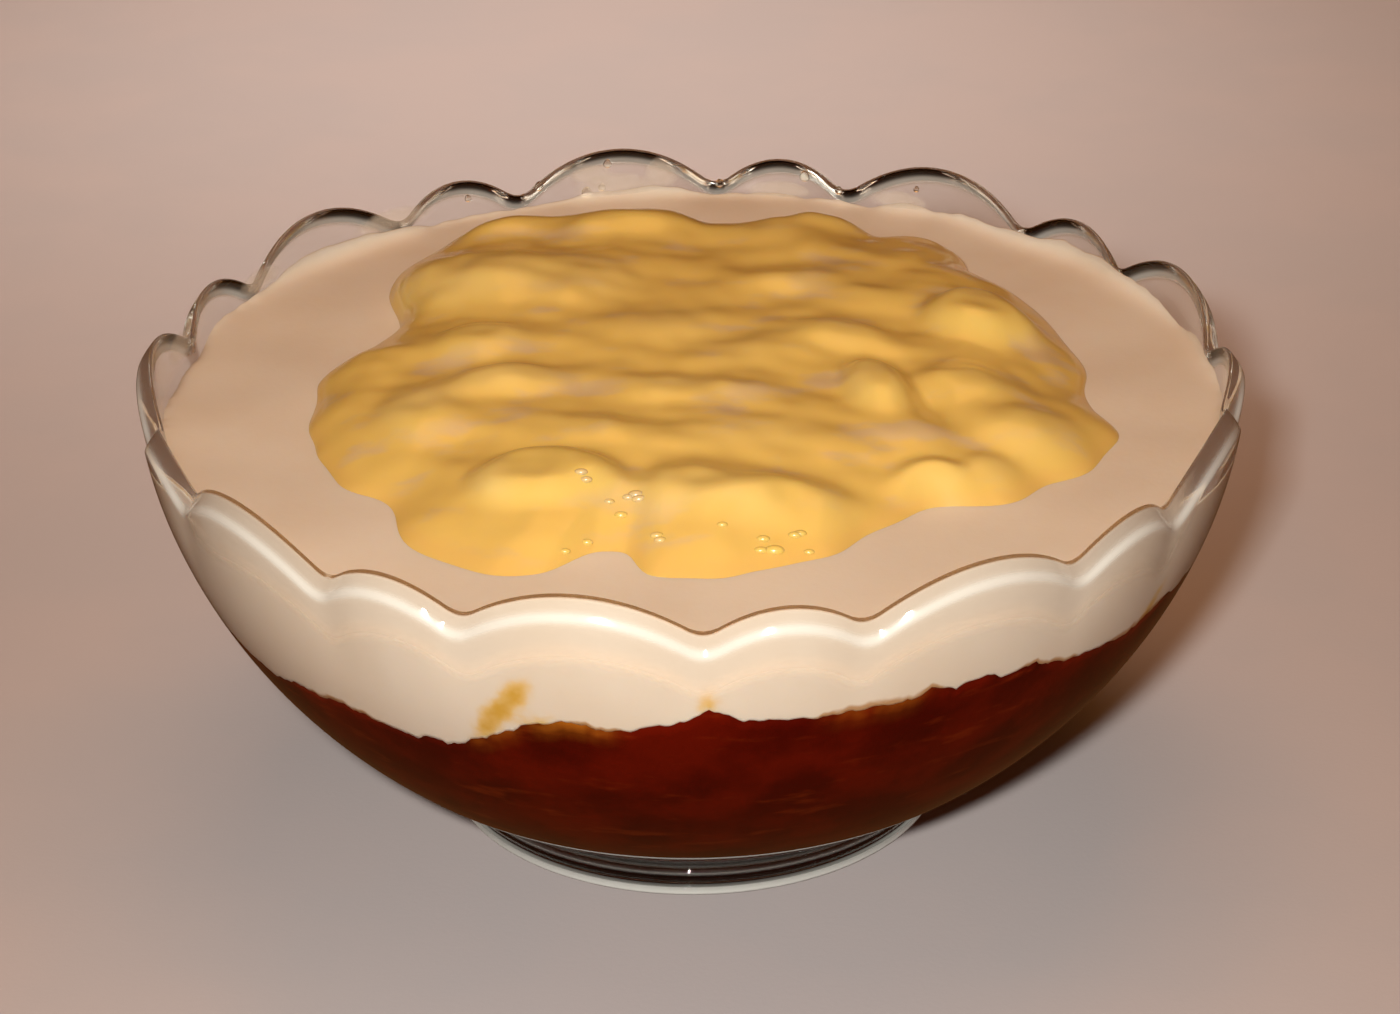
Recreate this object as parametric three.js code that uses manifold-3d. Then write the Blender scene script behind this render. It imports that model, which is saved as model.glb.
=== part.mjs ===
// Stewed apricot dessert: a clear glass bowl with a scalloped rim, filled with stewed apricots,
// a layer of cream and a lumpy heap of custard. Millimetres, +Z up, origin on the table under
// the middle of the foot, front towards -Y. Angles are in degrees, from +X towards +Y.
import * as THREE from 'three';
import Module from 'manifold-3d';

const wasm = await Module();
wasm.setup();

// Bowl body: the lower part of an egg-round shell about a middle over the rim, cut off by the foot
const BODY_MIDDLE_Z = 108.3;
const BODY_HALF_WIDTH = 115.2;
const BODY_HALF_HEIGHT = 112;
const RIM_WALL = 4;
const INSIDE_FLOOR_Z = 6.3;

// Foot: a ring with a shallow recess under the bowl
const FOOT_RADIUS = 52.8;
const FOOT_TOP_RADIUS = 53.4;
const FOOT_TOP_Z = 7.2;
const FOOT_BEVEL = 0.8;
const FOOT_LAND = 6;
const FOOT_RECESS = 2.2;
const WALL_START_RADIUS = 55.5;

// Rim: wide and narrow scallops by turns, with the wall drawn in a little under each valley
const SCALLOP_PAIRS = 9;
const FIRST_VALLEY = 206.8;
const VALLEY_Z = 92.6;
const CROWN = 1.6;
const SCALLOP_POWER = 1.64;
const WIDE_SCALLOP = { arc: 24.2, rise: 8.3, steps: 8 };
const NARROW_SCALLOP = { arc: 360 / SCALLOP_PAIRS - WIDE_SCALLOP.arc, rise: 5.7, steps: 6 };
const PINCH = 1.0;
const PINCH_START_Z = 64.3;

// Layers: gap between touching pieces, cream level, and the wavy top of the stew, with the shares
// of the bowl's half width where its edge level ends, its slope is halfway and its middle starts
const GAP = 0.3;
const WALL_GAP = 0.5;
const CREAM_Z = 88.8;
const STEW_Z = 70.8;
const STEW_MIDDLE_Z = 68.3;
const STEW_EDGE_SHARE = 0.8;
const STEW_SLOPE_SHARE = 0.5;
const STEW_MIDDLE_SHARE = 0.25;
const STEW_WAVES = [
  { at: 219, spread: 29, rise: -11.5 },
  { at: 273, spread: 12, rise: 2.5 },
  { at: 320, spread: 20, rise: -2 },
  { at: 62, spread: 30, rise: -3 },
  { at: 140, spread: 25, rise: -5 },
];

// Custard heap: middle, mean radius, thickness, tilt towards the back, and the fullness of its
// edge, which is thin in front and blunt at the back
const HEAP_X = 2;
const HEAP_Y = 3;
const HEAP_RADIUS = 81;
const HEAP_THICKNESS = 8.6;
const HEAP_TILT = 0.032;
const HEAP_LIP = 1;
const HEAP_LEAST_HEIGHT = 1.5;
const HEAP_FRONT_FULLNESS = 2.6;
const HEAP_BACK_FULLNESS = 6.5;
const LUMP_REACH = 2.5;

// Lobes and notches of the heap's outline
const HEAP_LOBES = [
  { at: 51, spread: 7, rise: 5 },
  { at: 70, spread: 8, rise: 3 },
  { at: 84, spread: 8, rise: -4 },
  { at: 126, spread: 19, rise: 9 },
  { at: 160, spread: 13, rise: -9 },
  { at: 200, spread: 15, rise: 2 },
  { at: 236, spread: 15, rise: 9 },
  { at: 256, spread: 5, rise: -6 },
  { at: 268, spread: 7, rise: 3 },
  { at: 303, spread: 12, rise: -10 },
  { at: 338, spread: 10, rise: 7 },
];

// Lumps of the heap, from front to back: place in plan, half length, half width, turn, rise over
// the heap, and how crisp the lump's edge is (2 is a soft swell)
const LUMPS = [
  { x: -37, y: -66, long: 22, wide: 12, turn: 8, rise: 0.8, crisp: 2 },
  { x: 1, y: -72, long: 20, wide: 10, turn: -3, rise: 0.8, crisp: 2 },
  { x: 20, y: -60, long: 13, wide: 8, turn: -10, rise: 2, crisp: 3.5 },
  { x: 31, y: -61, long: 7, wide: 6, turn: 0, rise: 1.5, crisp: 2.5 },
  { x: 3, y: -56, long: 17, wide: 9, turn: -4, rise: 2.2, crisp: 3.5 },
  { x: 47, y: -54, long: 7, wide: 7, turn: 0, rise: 2.4, crisp: 3.5 },
  { x: 58, y: -53, long: 6, wide: 6, turn: 0, rise: 1.2, crisp: 2 },
  { x: -30, y: -48, long: 15, wide: 10, turn: 3, rise: 3.2, crisp: 4 },
  { x: 14, y: -34, long: 15, wide: 7, turn: -3, rise: 1.2, crisp: 2 },
  { x: -22, y: -31, long: 17, wide: 6, turn: -3, rise: 1.2, crisp: 2 },
  { x: 70, y: -30, long: 13, wide: 9, turn: -8, rise: 2.8, crisp: 3.4 },
  { x: -55, y: -21, long: 8, wide: 11, turn: 0, rise: 2.8, crisp: 2.8 },
  { x: 46, y: -16, long: 3.5, wide: 15, turn: 25, rise: -1.5, crisp: 2 },
  { x: -35, y: -14, long: 20, wide: 6, turn: 0, rise: 1.7, crisp: 2.4 },
  { x: 38, y: -14, long: 6.5, wide: 11, turn: 10, rise: 3.8, crisp: 2.8 },
  { x: 58, y: -13, long: 9, wide: 8, turn: 0, rise: 2.4, crisp: 2.8 },
  { x: -5, y: -12, long: 18, wide: 6, turn: -4, rise: 1.7, crisp: 2.4 },
  { x: 11, y: 2, long: 13, wide: 8, turn: 0, rise: 1.2, crisp: 2 },
  { x: -44, y: 9, long: 10, wide: 8, turn: 0, rise: 2.4, crisp: 3.5 },
  { x: 33, y: 10, long: 22, wide: 6, turn: -3, rise: 1.7, crisp: 2.4 },
  { x: -5, y: 17, long: 11, wide: 8, turn: -5, rise: 1.5, crisp: 2 },
  { x: 60, y: 22, long: 11, wide: 12, turn: -10, rise: 4, crisp: 3.6 },
  { x: 41, y: 29, long: 12, wide: 6, turn: 0, rise: 1.3, crisp: 2.2 },
  { x: 24, y: 36, long: 11, wide: 6, turn: 0, rise: 1.6, crisp: 2.2 },
  { x: -29, y: 39, long: 18, wide: 13, turn: -5, rise: 2.2, crisp: 3.5 },
  { x: -52, y: 42, long: 17, wide: 14, turn: 5, rise: 2.4, crisp: 3.5 },
  { x: 15, y: 64, long: 13, wide: 7, turn: 0, rise: 2, crisp: 2.8 },
  { x: 56, y: 70, long: 6, wide: 4, turn: 0, rise: 2.6, crisp: 2 },
  { x: -11, y: 71, long: 17, wide: 8, turn: 0, rise: 3.2, crisp: 3 },
  { x: 31, y: 72, long: 8, wide: 6, turn: 0, rise: 2.8, crisp: 2.8 },
  { x: -42, y: 74, long: 14, wide: 8, turn: 8, rise: 2.8, crisp: 3 },
];

// Angular steps and ring counts of the faceted surfaces
const OUTSIDE_RINGS = 7;
const INSIDE_RINGS = 9;
const CROWN_RINGS = 4;
const FILLING_RINGS = 8;
const FILLING_STRIDE = 2;
const HEAP_STEPS = 84;
const HEAP_RINGS = 17;
const HEAP_RING_BIAS = 1.25;

const degrees = THREE.MathUtils.degToRad;
const { smoothstep } = THREE.MathUtils;

// Height above the table of the point at a given swing up the shell, from 0 at its lowest point
const shellZ = (halfHeight, swing) => BODY_MIDDLE_Z - halfHeight * Math.cos(swing);

// Swing of the shell at a height above the table
const shellSwing = (halfHeight, z) => Math.acos((BODY_MIDDLE_Z - z) / halfHeight);

// Sum of flat-topped waves round a circle, at an angle in degrees
function waveSum(waves, angle) {
  let sum = 0;
  for (const { at, spread, rise } of waves) {
    const away = THREE.MathUtils.euclideanModulo(angle - at + 180, 360) - 180;
    sum += rise * Math.exp(-((away / spread) ** 4));
  }
  return sum;
}

// Stations round the rim, with a station on every valley: the angle, the rise of the rim over
// the valleys, and the swell of the scallop from 0 in a valley to 1 at its middle
function rimStations(stride) {
  const stations = [];
  for (let pair = 0; pair < SCALLOP_PAIRS; pair += 1) {
    let start = FIRST_VALLEY + (pair * 360) / SCALLOP_PAIRS;
    for (const { arc, rise, steps } of [WIDE_SCALLOP, NARROW_SCALLOP]) {
      for (let step = 0; step < steps; step += stride) {
        const along = step / steps;
        const swell = 1 - Math.abs(2 * along - 1) ** SCALLOP_POWER;
        stations.push({ angle: start + along * arc, rise: rise * swell, swell });
      }
      start += arc;
    }
  }
  return stations;
}

// Evenly spaced stations for a heap or layer
function evenStations(count) {
  return Array.from({ length: count }, (_, step) => ({ angle: (step * 360) / count }));
}

// Closed solid from one profile per station. Each profile is a list of [radius, z] that starts
// and ends on the axis, from the underside to the top.
function turnedGeometry(stations, profileAt) {
  const profiles = stations.map(profileAt);
  const rings = profiles[0].length - 2;
  const count = stations.length;
  const positions = [0, 0, profiles[0][0][1]];
  for (let ring = 1; ring <= rings; ring += 1) {
    profiles.forEach((profile, step) => {
      const [radius, z] = profile[ring];
      const angle = degrees(stations[step].angle);
      positions.push(radius * Math.cos(angle), radius * Math.sin(angle), z);
    });
  }
  positions.push(0, 0, profiles[0][rings + 1][1]);
  const topPole = rings * count + 1;
  const place = (ring, step) => 1 + ring * count + (step % count);
  const faces = [];
  for (let step = 0; step < count; step += 1) {
    faces.push(0, place(0, step + 1), place(0, step));
    for (let ring = 0; ring < rings - 1; ring += 1) {
      const [a, b] = [place(ring, step), place(ring, step + 1)];
      const [c, d] = [place(ring + 1, step + 1), place(ring + 1, step)];
      faces.push(a, b, c, a, c, d);
    }
    faces.push(place(rings - 1, step), place(rings - 1, step + 1), topPole);
  }
  const geometry = new THREE.BufferGeometry();
  geometry.setAttribute('position', new THREE.Float32BufferAttribute(positions, 3));
  geometry.setIndex(faces);
  return geometry;
}

// How far the wall is drawn in at a station and height
function pinchIn(station, z) {
  return PINCH * (1 - station.swell) * smoothstep(z, PINCH_START_Z, VALLEY_Z);
}

// Point of a shell wall at a swing, drawn in under the valleys
function wallPoint(station, halfWidth, halfHeight, swing) {
  const z = shellZ(halfHeight, swing);
  return [halfWidth * Math.sin(swing) - pinchIn(station, z), z];
}

// Section of the glass at a station: recess, foot, outside wall, round crown and inside wall
function bowlProfile(station) {
  const insideHalfWidth = BODY_HALF_WIDTH - RIM_WALL;
  const insideHalfHeight = BODY_MIDDLE_Z - INSIDE_FLOOR_Z;
  const crownZ = VALLEY_Z + station.rise - CROWN;
  const landInside = FOOT_RADIUS - FOOT_BEVEL - FOOT_LAND;
  const points = [
    [0, FOOT_RECESS],
    [landInside - FOOT_RECESS, FOOT_RECESS],
    [landInside, 0],
    [FOOT_RADIUS - FOOT_BEVEL, 0],
    [FOOT_RADIUS, FOOT_BEVEL],
    [FOOT_TOP_RADIUS, FOOT_TOP_Z],
  ];
  const lowSwing = Math.asin(WALL_START_RADIUS / BODY_HALF_WIDTH);
  const highSwing = shellSwing(BODY_HALF_HEIGHT, crownZ);
  for (let ring = 0; ring <= OUTSIDE_RINGS; ring += 1) {
    const swing = THREE.MathUtils.lerp(lowSwing, highSwing, ring / OUTSIDE_RINGS);
    points.push(wallPoint(station, BODY_HALF_WIDTH, BODY_HALF_HEIGHT, swing));
  }
  const insideSwing = shellSwing(insideHalfHeight, crownZ);
  const outer = points.at(-1)[0];
  const inner = wallPoint(station, insideHalfWidth, insideHalfHeight, insideSwing)[0];
  for (let ring = 1; ring < CROWN_RINGS; ring += 1) {
    const roll = (Math.PI * ring) / CROWN_RINGS;
    const radius = (outer + inner) / 2 + ((outer - inner) / 2) * Math.cos(roll);
    points.push([radius, crownZ + CROWN * Math.sin(roll)]);
  }
  for (let ring = INSIDE_RINGS; ring > 0; ring -= 1) {
    const swing = (insideSwing * ring) / INSIDE_RINGS;
    points.push(wallPoint(station, insideHalfWidth, insideHalfHeight, swing));
  }
  points.push([0, INSIDE_FLOOR_Z]);
  return points;
}

// Section of everything in the bowl up to the cream's flat top
function fillingProfile(station) {
  const halfWidth = BODY_HALF_WIDTH - RIM_WALL - WALL_GAP;
  const halfHeight = BODY_MIDDLE_Z - INSIDE_FLOOR_Z - WALL_GAP;
  const topSwing = shellSwing(halfHeight, CREAM_Z);
  const points = [[0, INSIDE_FLOOR_Z + WALL_GAP]];
  for (let ring = 1; ring <= FILLING_RINGS; ring += 1) {
    points.push(wallPoint(station, halfWidth, halfHeight, (topSwing * ring) / FILLING_RINGS));
  }
  points.push([points.at(-1)[0] / 2, CREAM_Z], [0, CREAM_Z]);
  return points;
}

// Section of a block that reaches past the wall and ends at the wavy top of the stew, which runs
// level from the wall inwards and then slopes to the middle
function stewProfile(station) {
  const reach = BODY_HALF_WIDTH;
  const edgeZ = STEW_Z + waveSum(STEW_WAVES, station.angle);
  const slopeZ = (edgeZ + STEW_MIDDLE_Z) / 2;
  return [
    [0, 0],
    [reach, 0],
    [reach, edgeZ],
    [STEW_EDGE_SHARE * reach, edgeZ],
    [STEW_SLOPE_SHARE * reach, slopeZ],
    [STEW_MIDDLE_SHARE * reach, STEW_MIDDLE_Z],
    [0, STEW_MIDDLE_Z],
  ];
}

// Radius of the custard's outline from the heap's middle
const heapRadius = (angle) => HEAP_RADIUS + waveSum(HEAP_LOBES, angle);

// Share of a lump's rise at a place, from 1 at its middle to nothing well outside its oval
function lumpShare({ x, y, long, wide, turn, crisp }, atX, atY) {
  const [c, s] = [Math.cos(degrees(turn)), Math.sin(degrees(turn))];
  const along = ((atX - x) * c + (atY - y) * s) / long;
  const across = ((atY - y) * c - (atX - x) * s) / wide;
  return Math.exp(-(Math.hypot(along, across) ** crisp));
}

// Height of the heap over the cream at a share 0 to 1 of the way from its middle to its outline:
// a tilted plateau that runs out at the edge, with the lumps on it, which fade just before it
function heapHeight(angle, share) {
  const radius = share * heapRadius(angle);
  const x = HEAP_X + radius * Math.cos(degrees(angle));
  const y = HEAP_Y + radius * Math.sin(degrees(angle));
  const towardsBack = (1 + Math.sin(degrees(angle))) / 2;
  const fullness = THREE.MathUtils.lerp(HEAP_FRONT_FULLNESS, HEAP_BACK_FULLNESS, towardsBack);
  const edge = Math.sqrt(1 - share ** fullness);
  let height = (HEAP_THICKNESS + HEAP_TILT * y) * edge;
  for (const lump of LUMPS) {
    height += lump.rise * lumpShare(lump, x, y) * Math.min(LUMP_REACH * edge, 1);
  }
  return Math.max(height, HEAP_LEAST_HEIGHT);
}

// Section of the heap at a station: flat underside, round lip and lumpy top
function heapProfile({ angle }) {
  const radius = heapRadius(angle);
  const points = [[0, 0], [radius - HEAP_LIP, 0], [radius, HEAP_LIP]];
  for (let ring = HEAP_RINGS - 1; ring > 0; ring -= 1) {
    const share = 1 - (1 - ring / HEAP_RINGS) ** HEAP_RING_BIAS;
    points.push([share * radius, heapHeight(angle, share)]);
  }
  points.push([0, heapHeight(0, 0)]);
  return points;
}

// Closed geometry as a solid that can be cut and joined
function solidFrom(geometry) {
  return new wasm.Manifold(new wasm.Mesh({
    numProp: 3,
    vertProperties: new Float32Array(geometry.attributes.position.array),
    triVerts: new Uint32Array(geometry.index.array),
  }));
}

// Solid back to a geometry
function geometryFrom(solid) {
  const { vertProperties, triVerts } = solid.getMesh();
  const geometry = new THREE.BufferGeometry();
  geometry.setAttribute('position', new THREE.BufferAttribute(vertProperties, 3));
  geometry.setIndex(new THREE.BufferAttribute(triVerts, 1));
  return geometry;
}

// Named mesh with its own finish
function piece(name, geometry, finish) {
  geometry.computeVertexNormals();
  const mesh = new THREE.Mesh(geometry, new THREE.MeshStandardMaterial({ metalness: 0, ...finish }));
  mesh.name = name;
  return mesh;
}

const dessert = new THREE.Group();

const bowl = turnedGeometry(rimStations(1), bowlProfile);
dessert.add(piece('glass_bowl', bowl, {
  color: 0xe8eceb,
  roughness: 0.03,
  transparent: true,
  opacity: 0.35,
}));

const layerStations = rimStations(FILLING_STRIDE);
const filling = solidFrom(turnedGeometry(layerStations, fillingProfile));
const underStew = solidFrom(turnedGeometry(layerStations, stewProfile));
const stew = filling.intersect(underStew);
const cream = filling.subtract(underStew.translate([0, 0, GAP]));
dessert.add(piece('apricot_stew', geometryFrom(stew), { color: 0x4a1608, roughness: 0.35 }));
dessert.add(piece('cream_layer', geometryFrom(cream), { color: 0xf3e4d2, roughness: 0.5 }));

const custard = piece('custard_heap', turnedGeometry(evenStations(HEAP_STEPS), heapProfile), {
  color: 0xf0bd55,
  roughness: 0.3,
});
custard.position.set(HEAP_X, HEAP_Y, CREAM_Z + GAP);
dessert.add(custard);

export default dessert;
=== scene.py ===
"""Stewed apricots under cream and custard in a clear glass bowl.

The glass, the stew, the cream and the custard are worked out as fine surfaces with the sizes of the
solids that they stand for, then dressed, lit and seen on a plain table. Lengths are in millimetres
until a mesh is made, and angles are in degrees from +X towards +Y, the side away from the viewer.
"""

import logging
from dataclasses import dataclass
from enum import Enum

import bpy
import numpy as np
from mathutils import Matrix, Vector


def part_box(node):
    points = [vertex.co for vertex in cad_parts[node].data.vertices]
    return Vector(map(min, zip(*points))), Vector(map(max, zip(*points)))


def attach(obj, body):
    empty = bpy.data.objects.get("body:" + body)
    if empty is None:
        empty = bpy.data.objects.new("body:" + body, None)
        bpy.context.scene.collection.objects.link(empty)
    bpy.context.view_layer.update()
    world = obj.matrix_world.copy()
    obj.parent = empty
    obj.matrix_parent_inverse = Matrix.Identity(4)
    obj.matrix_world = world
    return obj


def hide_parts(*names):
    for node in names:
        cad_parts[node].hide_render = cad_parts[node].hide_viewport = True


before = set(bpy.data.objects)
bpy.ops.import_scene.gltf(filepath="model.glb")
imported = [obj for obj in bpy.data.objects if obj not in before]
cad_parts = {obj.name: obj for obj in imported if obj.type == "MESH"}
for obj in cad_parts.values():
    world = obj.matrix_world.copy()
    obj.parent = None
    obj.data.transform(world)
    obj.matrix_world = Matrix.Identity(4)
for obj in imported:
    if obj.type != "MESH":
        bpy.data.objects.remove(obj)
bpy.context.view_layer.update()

LOG = logging.getLogger("dessert")
BODY = "root"
MM = 0.001

Array = np.ndarray
Tint = tuple[int, int, int]
Pair = tuple[float, float]
Triple = tuple[float, float, float]
Socket = bpy.types.NodeSocket
WHOLE: Pair = (0.0, 1.0)


def linear(tint: Tint) -> tuple[float, float, float, float]:
    """Display colour as the linear colour that a shader takes.

    A very dark channel is divided by 12.92. Any other has 0.055 added, is divided by 1.055 and is taken to
    the power 2.4.

    Args:
        tint: red, green and blue, from 0 to 255.

    Returns:
        Red, green, blue and a full alpha, from 0 to 1.
    """
    parts = np.array(tint) / 255.0
    values = np.where(parts <= 0.04045, parts / 12.92, ((parts + 0.055) / 1.055) ** 2.4)
    return (*values.tolist(), 1.0)


def away_from(angle: Array, at: float) -> Array:
    """Signed way round the bowl from one angle to others, from -180 to 180 degrees."""
    return (angle - at + 180.0) % 360.0 - 180.0


def all_round(stations: int) -> Array:
    """Angles of evenly spaced stations round an axis."""
    return np.linspace(0.0, 360.0, stations, endpoint=False)


def in_plan(radius: float | Array, angle: Array) -> tuple[Array, Array]:
    """Places in plan: the radius times the cosine of the angle, and times its sine."""
    return radius * np.cos(np.radians(angle)), radius * np.sin(np.radians(angle))


def on_rings(radius: Array, angle: Array, z: Array) -> Array:
    """Places on rings round an upright axis, with x, y and z along the array's last axis."""
    return np.stack([*in_plan(radius, angle), z], axis=-1)


def bell(way: Array, spread: float | Array = 1.0, power: float = 2.0) -> Array:
    """Bell with a top of 1: e to the minus power of the way from its middle over its spread."""
    return np.exp(-(np.abs(way / spread) ** power))


@dataclass(frozen=True)
class Wave:
    """A flat-topped wave round the bowl: where it stands, how far it spreads and how high it rises."""

    at: float
    spread: float
    rise: float

    def height(self, angle: Array) -> Array:
        """Rise times a bell, with a power of 4, of the way from the middle."""
        return self.rise * bell(away_from(angle, self.at), self.spread, 4.0)


def wave_sum(waves: tuple[Wave, ...], angle: Array) -> Array:
    """Heights of several waves at the same angles, added up."""
    return sum((wave.height(angle) for wave in waves), np.zeros_like(angle))


@dataclass(frozen=True)
class Ripples:
    """Seeded unevenness: level waves of about one length, in random directions, added up."""

    seed: int
    length: float
    depth: float
    waves: int = 18

    def at(self, x: Array, y: Array) -> Array:
        """Height of the ripples at places in plan.

        Each wave is the cosine of the way along its heading over its length plus its phase. Their sum
        is scaled so that the depth is the usual height of a crest.

        Args:
            x: places along X, in millimetres.
            y: places along Y, in millimetres.

        Returns:
            Heights of the same shape as x, in millimetres.
        """
        draw = np.random.default_rng(self.seed)
        heading = draw.uniform(0.0, 2.0 * np.pi, self.waves)
        phase = draw.uniform(0.0, 2.0 * np.pi, self.waves)
        turns = 2.0 * np.pi / (self.length * draw.uniform(0.7, 1.4, self.waves))
        along = x[..., None] * np.cos(heading) + y[..., None] * np.sin(heading)
        return self.depth * np.sqrt(2.0 / self.waves) * np.cos(along * turns + phase).sum(axis=-1)


def ripple_sum(layers: tuple[Ripples, ...], x: Array, y: Array) -> Array:
    """Heights of several layers of ripples at the same places, added up."""
    return sum((ripples.at(x, y) for ripples in layers), np.zeros_like(x))


def rounded_path(corners: Array, cuts: tuple[float, ...], steps: int) -> Array:
    """Path along corners, with each inner corner replaced by a quadratic curve.

    A curve starts and ends one cut away from its corner, and the corner is its control point.

    Args:
        corners: array of corners, stations and (radius, z), in millimetres.
        cuts: one length for each inner corner, in millimetres.
        steps: points on each curve.

    Returns:
        Array of path points, stations and (radius, z).
    """
    share = np.linspace(0.0, 1.0, steps)[:, None, None]
    rows = [corners[:1]]
    for before, corner, after, cut in zip(corners, corners[1:], corners[2:], cuts):
        start = corner + cut * (before - corner) / np.linalg.norm(before - corner, axis=-1, keepdims=True)
        end = corner + cut * (after - corner) / np.linalg.norm(after - corner, axis=-1, keepdims=True)
        rows.append((1 - share) ** 2 * start + 2 * share * (1 - share) * corner + share**2 * end)
    rows.append(corners[-1:])
    return np.concatenate(rows)


@dataclass(frozen=True)
class RingSurface:
    """Closed surface of rings of points round an upright axis, shut by a pole at each end.

    Attributes:
        angle: angle of each station round the axis.
        section: array of rings, stations and (radius, z), from the underside to the top.
        low_pole: height of the first pole.
        high_pole: height of the last pole.
        centre: place of the axis in plan.
    """

    angle: Array
    section: Array
    low_pole: float
    high_pole: float
    centre: Pair = (0.0, 0.0)

    def points(self) -> Array:
        """Places of a pole, the rings and the other pole.

        Returns:
            Array of points and (x, y, z), in millimetres.
        """
        rings = on_rings(self.section[..., 0], self.angle, self.section[..., 1]).reshape(-1, 3)
        poles = np.array([[0.0, 0.0, self.low_pole], [0.0, 0.0, self.high_pole]])
        return np.concatenate([poles[:1], rings, poles[1:]]) + np.array([*self.centre, 0.0])

    def faces(self) -> tuple[Array, Array]:
        """Corner numbers of the faces.

        Returns:
            Four-sided faces between neighbours on two rings, and the triangles of the fans at the poles.
        """
        rings, stations = self.section.shape[:2]
        place = 1 + np.arange(rings * stations).reshape(rings, stations)
        after = np.roll(place, -1, axis=1)
        quads = np.stack([place[:-1], after[:-1], after[1:], place[1:]], axis=-1).reshape(-1, 4)
        low = np.stack([np.zeros(stations, int), after[0], place[0]], axis=-1)
        high = np.stack([place[-1], after[-1], np.full(stations, rings * stations + 1)], axis=-1)
        return quads, np.concatenate([low, high])

    def build(self, name: str, traits: dict[str, Array]) -> bpy.types.Object:
        """Makes the surface a smooth mesh object, with named values for its finish.

        Args:
            name: name of the object and its mesh.
            traits: arrays of rings and stations to keep as attributes of the mesh's points.

        Returns:
            The object, at the origin.
        """
        piece = solid_object(name, self.points(), *self.faces())
        for trait, values in traits.items():
            ends = values[[0, -1]].mean(axis=1)
            add_trait(piece, trait, np.concatenate([ends[:1], values.ravel(), ends[1:]]))
        return piece


def solid_object(name: str, points: Array, *faces: Array) -> bpy.types.Object:
    """Smooth mesh object at the origin.

    Args:
        name: name of the object and its mesh.
        points: array of points and (x, y, z), in millimetres.
        faces: arrays of corner numbers, one for each kind of face.

    Returns:
        The object, in the scene's collection.
    """
    mesh = bpy.data.meshes.new(name)
    mesh.from_pydata((points * MM).tolist(), [], sum((group.tolist() for group in faces), []))
    mesh.shade_smooth()
    piece = bpy.data.objects.new(name, mesh)
    bpy.context.scene.collection.objects.link(piece)
    return piece


def add_trait(piece: bpy.types.Object, name: str, values: Array) -> None:
    """Keeps one value for each point of a mesh under a name, for its finish."""
    attribute = piece.data.attributes.new(name, "FLOAT", "POINT")
    attribute.data.foreach_set("value", values.astype(np.float32))


@dataclass(frozen=True)
class Ball:
    """Unit ball of rings and stations, to be bent into dabs and drops."""

    rings: int
    stations: int

    def surface(self) -> RingSurface:
        """Rings of the ball: radius and height are the sine and less the cosine of the tip from below.

        Returns:
            The closed surface, with its middle at the origin.
        """
        angle = all_round(self.stations)
        tip = np.linspace(0.0, np.pi, self.rings + 2)[1:-1, None] * np.ones(self.stations)
        return RingSurface(angle, np.stack([np.sin(tip), -np.cos(tip)], axis=-1), -1.0, 1.0)

    def copies(self, name: str, points: Array) -> bpy.types.Object:
        """Mesh object of several bent copies.

        Args:
            name: name of the object.
            points: array of copies, points of the ball and (x, y, z), in millimetres.

        Returns:
            The object, at the origin.
        """
        shift = points.shape[1] * np.arange(len(points))[:, None, None]
        groups = [(group + shift).reshape(-1, group.shape[1]) for group in self.surface().faces()]
        return solid_object(name, points.reshape(-1, 3), *groups)


def settle(piece: bpy.types.Object, material: bpy.types.Material, node: str | None = None) -> None:
    """Gives a piece its finish and puts it on the model's one body.

    Args:
        piece: the finished mesh object.
        material: its finish.
        node: the solid that it stands for, if any.
    """
    piece.data.materials.append(material)
    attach(piece, BODY)
    if node:
        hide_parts(node)
    LOG.info("%s: %d faces, finish %s", piece.name, len(piece.data.polygons), material.name)


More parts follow.
